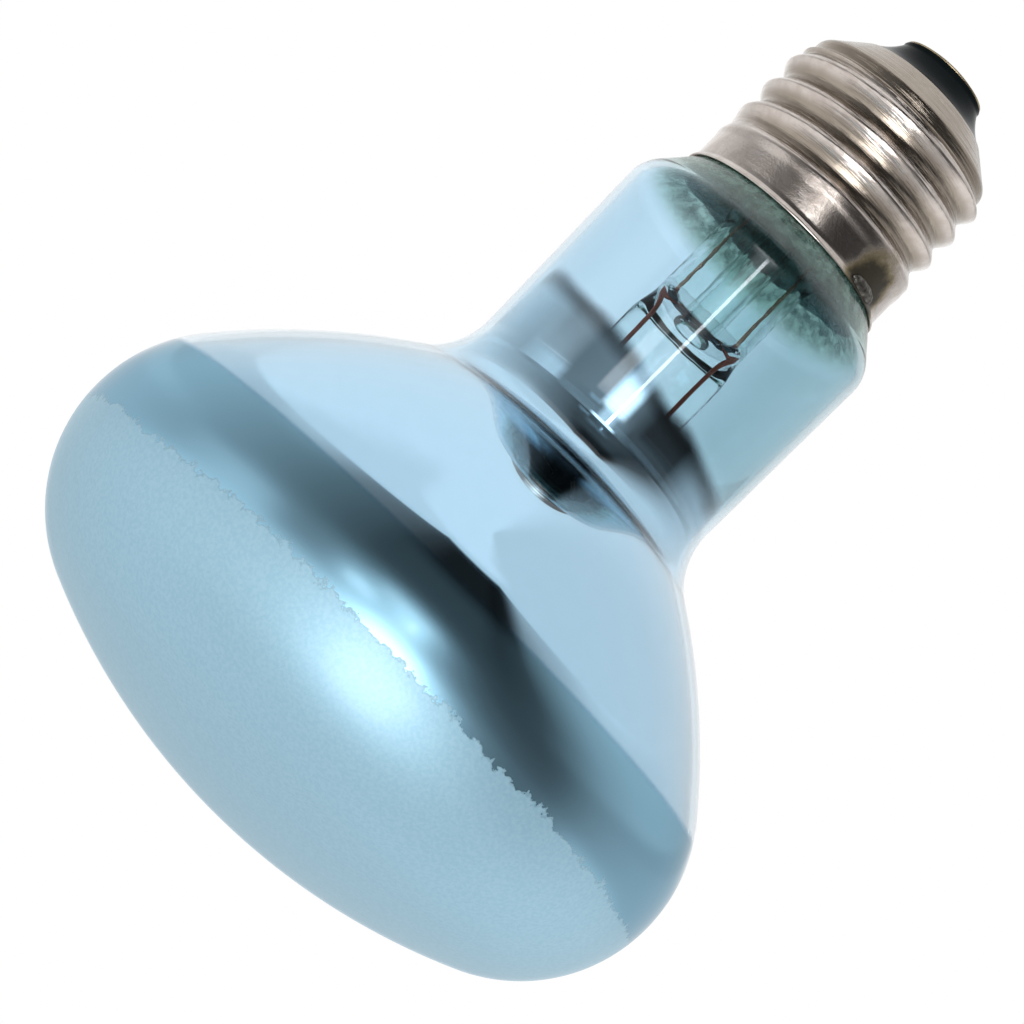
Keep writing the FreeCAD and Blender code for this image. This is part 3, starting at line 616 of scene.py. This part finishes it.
def make_contact():
    """The brass plate, dished round its hole."""
    outline = Outline(CONTACT_HOLE, CONTACT_FOOT)
    outline.line(CONTACT_RADIUS, CONTACT_FOOT, 3)
    outline.arc((CONTACT_RADIUS, CONTACT_FOOT + 0.15), 120, 6)
    outline.path((4.25, 110.6, 2), (2.8, CONTACT_TOP, 3), (CONTACT_HOLE, CONTACT_TOP, 2))
    mesh = outline.turned(96, closed=True)
    piece("contact", mesh, FINISHES["brass"], ["contact_plate"])


def make_contact_solder():
    """The domed, uneven solder that fills the hole of the brass plate."""
    outline = Outline(0, 110.45)
    outline.path(
        (CONTACT_HOLE, 110.45),
        (CONTACT_HOLE, CONTACT_TOP),
        (2.7, CONTACT_TOP, 3),
        (2.2, 110.95),
        (1.3, TOP),
        (0, TOP),
    )
    mesh = outline.turned(48)
    for vertex in mesh.verts:
        if vertex.co.z > CONTACT_TOP + 0.01:
            vertex.co.z -= 0.05 * (1 + noise.noise(vertex.co * 1.1))
            vertex.co.xy *= 1 + 0.05 * noise.noise(vertex.co * 0.8)
    piece("contact_solder", mesh, FINISHES["solder"], ["centre_solder"], sharp=60)


def make_side_solder():
    """A flattened, uneven drop of solder on the skirt, by the cap's edge."""
    mesh = bmesh.new()
    bmesh.ops.create_icosphere(mesh, subdivisions=4, radius=1)
    for vertex in mesh.verts:
        vertex.co *= 1 + 0.12 * noise.noise(vertex.co * 2.3)
    bmesh.ops.scale(mesh, vec=(0.5, 2.3, 0.8), verts=mesh.verts)
    bmesh.ops.translate(mesh, vec=(13.0, 0, 85.2), verts=mesh.verts)
    to_its_side = Matrix.Rotation(math.radians(-43), 3, "Z")
    bmesh.ops.rotate(mesh, cent=(0, 0, 0), matrix=to_its_side, verts=mesh.verts)
    piece("skirt_solder", mesh, FINISHES["burnt"], ["side_solder"])


def make_stem():
    """The flared glass tube, pinched flat at its foot round the two seal wires."""
    outline = Outline(0, STEM_FOOT)
    outline.path(
        (5.2, STEM_FOOT, 3),
        (STEM_RADIUS, 62.6, 2),
        (STEM_RADIUS, 82.5, 40),
        (6.6, 85.0, 4),
        (10.3, 89.7, 6),
        (10.4, 90.53),
        (11.15, 90.6),
        (11.1, 91.35),
        (9.6, 91.4, 2),
        (5.9, 86.2, 5),
        (STEM_BORE, 83.4, 3),
        (STEM_BORE, 73.2, 12),
        (4.2, 72.0, 2),
        (0, 71.53, 3),
    )
    mesh = outline.turned(96)
    for vertex in mesh.verts:
        co = vertex.co
        flat = smooth(PRESS_TOP, PRESS_FLAT, co.z)
        co.x *= 1 + 0.085 * flat
        co.y *= 1 - 0.68 * flat
        co.y += 0.25 * flat * noise.noise(Vector((co.x, 0, co.z)) * 0.45)
    piece("stem", mesh, FINISHES["stem"], ["stem_tube"], sharp=60)


def make_filament():
    """The coiled wire: a helix laid round a half ring."""
    steps = 10
    count = COIL_TURNS * steps
    curve = bpy.data.curves.new("coil", "CURVE")
    curve.dimensions = "3D"
    curve.bevel_depth = WIRE_RADIUS * MM
    curve.bevel_resolution = 1
    line = curve.splines.new("POLY")
    line.points.add(count)
    for index in range(count + 1):
        place = math.radians(-184 + 188 * index / count)
        coil = math.tau * index / steps
        reach = RING_RADIUS + COIL_RADIUS * math.cos(coil)
        height = RING_HEIGHT + COIL_RADIUS * math.sin(coil)
        line.points[index].co = (reach * math.cos(place) * MM, reach * math.sin(place) * MM, height * MM, 1)
    helper = bpy.data.objects.new("coil", curve)
    bpy.context.scene.collection.objects.link(helper)
    bpy.context.view_layer.update()
    mesh = bmesh.new()
    mesh.from_mesh(helper.to_mesh())
    bpy.data.objects.remove(helper)
    bpy.data.curves.remove(curve)
    bmesh.ops.scale(mesh, vec=(1 / MM, 1 / MM, 1 / MM), verts=mesh.verts)
    piece("filament_coil", mesh, FINISHES["tungsten"], ["filament"])


make_bulb()
make_film()
make_cap()
make_insulator()
make_contact()
make_contact_solder()
make_side_solder()
make_stem()
make_filament()

# Solids that keep their own shape and only get a finish
CARRIED = {
    "basing_cement": "cement",
    "exhaust_tube": "stem",
    "arbor": "stem",
    "dumet_right": "oxide",
    "dumet_left": "oxide",
    "outer_lead_centre": "copper",
    "outer_lead_side": "copper",
    "lead_right": "nickel_wire",
    "lead_left": "nickel_wire",
    "support_wire_1": "molybdenum",
    "support_wire_2": "molybdenum",
    "support_wire_3": "molybdenum",
}
for node, finish in CARRIED.items():
    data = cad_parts[node].data
    data.materials.clear()
    data.materials.append(FINISHES[finish])
    data.shade_smooth()


# Studio


def pale_floor():
    """A pale floor that is only seen from above."""
    mesh = bmesh.new()
    bmesh.ops.create_circle(mesh, cap_ends=True, segments=96, radius=4.0)
    data = bpy.data.meshes.new("floor")
    mesh.to_mesh(data)
    mesh.free()
    paint, make = material("floor_paint")
    under = make.node("NewGeometry", output="Backfacing")
    top = make.surface(Base_Color=(0.93, 0.93, 0.93), Roughness=0.9, Specular_IOR_Level=0.1)
    make.finish(make.blend(under, top, make.node("BsdfTransparent")))
    data.materials.append(paint)
    floor = bpy.data.objects.new("floor", data)
    bpy.context.scene.collection.objects.link(floor)
    floor.visible_diffuse = False
    floor.visible_glossy = False
    floor.visible_shadow = False


def studio_sky():
    """White all round for the eye and through glass. Polished surfaces mirror a white tent with a dark opening."""
    world = bpy.data.worlds.new("studio")
    bpy.context.scene.world = world
    world.use_nodes = True
    make = Shader(world.node_tree)
    direction = make.node("TexCoord", output="Generated")
    x, y, z = make.parts(direction)
    # Degrees round from the front, and up from the horizon
    turn = x.maths("ARCTAN2", y * -1) * (180 / math.pi)
    rise = z.maths("ARCSINE") * (180 / math.pi)

    def band(stops, around=turn):
        """Brightness round the horizon, from stops of (degrees from the front, level)."""
        places = [((degrees + 180) / 360, level / 4) for degrees, level in stops]
        return make.node("ValToRGB", {"stops": places}, Fac=(around + 180) / 360) * 4.0

    # Below the horizon: bright in front, and an even grey where it is steep
    under = band([
        (-179, 0.75), (-100, 1.0), (-28, 1.0), (-13, 1.7), (-6, 4.0), (10, 4.0), (16, 1.2), (54, 0.5),
        (75, 0.6), (110, 1.1), (179, 0.75),
    ])
    steep = rise.ramp(-52, -44, 1, 0) * turn.window(-110, -80, 100, 130)
    under = make.mix(steep, under, 0.62)
    # At the horizon
    low = band([
        (-179, 1.2), (-146, 0.9), (-112, 0.6), (-96, 0.5), (-66, 0.85), (-55, 0.8), (-47, 0.25), (-9, 0.25),
        (-4, 1.0), (4, 1.0), (9, 0.35), (22, 0.1), (65, 0.07), (90, 0.4), (130, 0.65), (179, 1.2),
    ])
    level = make.mix(rise.ramp(-6, 0), under, low)
    shade_side = turn.window(20, 32, 70, 90) * rise.window(-36, -24, -6, 0)
    level = level * (1 - shade_side * 0.65)
    glow = turn.window(-15, -1, 15, 27) * rise.window(-60, -42, -24, -12)
    level = make.mix(glow, level, 6.2)
    # A little higher, which the sides of the cap mirror
    cap_level = band([
        (-179, 1.2), (-129, 0.9), (-80, 0.33), (-64, 0.35), (-48, 0.22), (-14, 0.3), (-8, 2.2), (7, 2.2),
        (13, 0.2), (30, 0.03), (65, 0.03), (84, 0.3), (130, 0.55), (179, 1.1),
    ])
    level = make.mix(rise.ramp(12, 13.5), level, cap_level)
    # The dark opening, which leans to the right as it goes up
    bent = turn + (rise - 25).maths("MAXIMUM", 0) * turn.ramp(10, 45)
    middle = band([
        (-179, 1.0), (-132, 0.8), (-105, 0.58), (-53, 0.24), (-22, 0.08), (20, 0.08), (36, 0.05), (55, 0.08),
        (87, 0.5), (108, 0.65), (179, 0.9),
    ], bent)
    middle = middle * (rise.ramp(42, 56, 0, -0.8) * turn.window(-30, -5, 28, 45) + 1)
    level = make.mix(rise.ramp(17, 19), level, middle)
    # The tent: its sides, and its roof, whose edge comes down to both sides of the opening
    slope = (turn - 5).maths("ABSOLUTE")
    level = make.mix(rise.ramp(35, 62) * slope.ramp(60, 110), level, 1.0)
    roof_edge = 73 - (slope - 25).maths("MAXIMUM", 0) * 0.32
    lens = rise.ramp(74, 79, -0.13, 0) * turn.window(-125, -100, 30, 60)
    roof = turn.ramp(20, 60, 1.0, 0.8) + turn.ramp(140, 178, 0, 0.2) + lens
    level = make.mix((rise - roof_edge).ramp(-1.2, 1.2), level, roof)
    # Two small lights in front: a panel at the left and a narrow strip in the middle
    panel = turn.window(-24, -21, -13, -10) * rise.window(2, 4, 8.5, 10.5)
    level = make.mix(panel, level, 3.0)
    strip = turn.window(1.0, 1.8, 3.6, 4.4) * rise.window(6, 7, 12, 13)
    level = make.mix(strip, level, 8.0)
    # Through the glass the wall behind the bulb is white
    glossy = make.node("LightPath", output="Is Glossy Ray")
    eye = make.node("LightPath", output="Is Camera Ray")
    through = make.node("LightPath", output="Is Transmission Ray")
    behind = slope.ramp(148, 160) * rise.window(-20, -10, 28, 36)
    level = make.mix(through * behind, level, 1.0)
    mirrored = glossy.maths("MAXIMUM", through)
    shade = make.mix(mirrored, 0.72, level)
    shade = make.mix(eye, shade, 1.0)
    make.finish(make.node("Background", Color=shade, Strength=1.0), "OutputWorld")


def softbox(name, place, size, watts):
    """A round lamp that faces the bulb's middle and isn't mirrored. Its place and size are in metres."""
    lamp = bpy.data.lights.new(name, "AREA")
    lamp.shape = "DISK"
    lamp.size = size
    lamp.energy = watts
    item = bpy.data.objects.new(name, lamp)
    bpy.context.scene.collection.objects.link(item)
    item.location = place
    bulb_middle = Vector((0, 0, 0.055))
    item.rotation_euler = (bulb_middle - Vector(place)).to_track_quat("-Z", "Y").to_euler()
    item.visible_glossy = False
    item.visible_transmission = False


def bulb_camera():
    """The camera in front of the bulb, just below its foot and turned on its side."""
    data = bpy.data.cameras.new("camera")
    data.sensor_width = 36
    data.sensor_fit = "HORIZONTAL"
    data.lens = 151.37
    data.clip_start = 0.01
    item = bpy.data.objects.new("camera", data)
    bpy.context.scene.collection.objects.link(item)
    place = Vector((-0.17, -444.6, -26.1)) * MM
    right = Vector((0.71131, -0.10943, 0.69431))
    up = Vector((-0.70289, -0.11074, 0.70264))
    back = Vector((0.0, -0.98781, -0.15569))
    turn = Matrix((right, up, back)).transposed().to_4x4()
    item.matrix_world = Matrix.Translation(place) @ turn
    bpy.context.scene.camera = item


pale_floor()
studio_sky()
softbox("key", (-0.7, -0.5, 1.1), size=0.7, watts=4.5)
softbox("fill", (0.9, -0.3, 0.7), size=0.9, watts=2.0)
softbox("low_fill", (0.45, -0.85, -0.6), size=0.6, watts=2.6)
bulb_camera()
bpy.context.scene.view_settings.view_transform = "Standard"
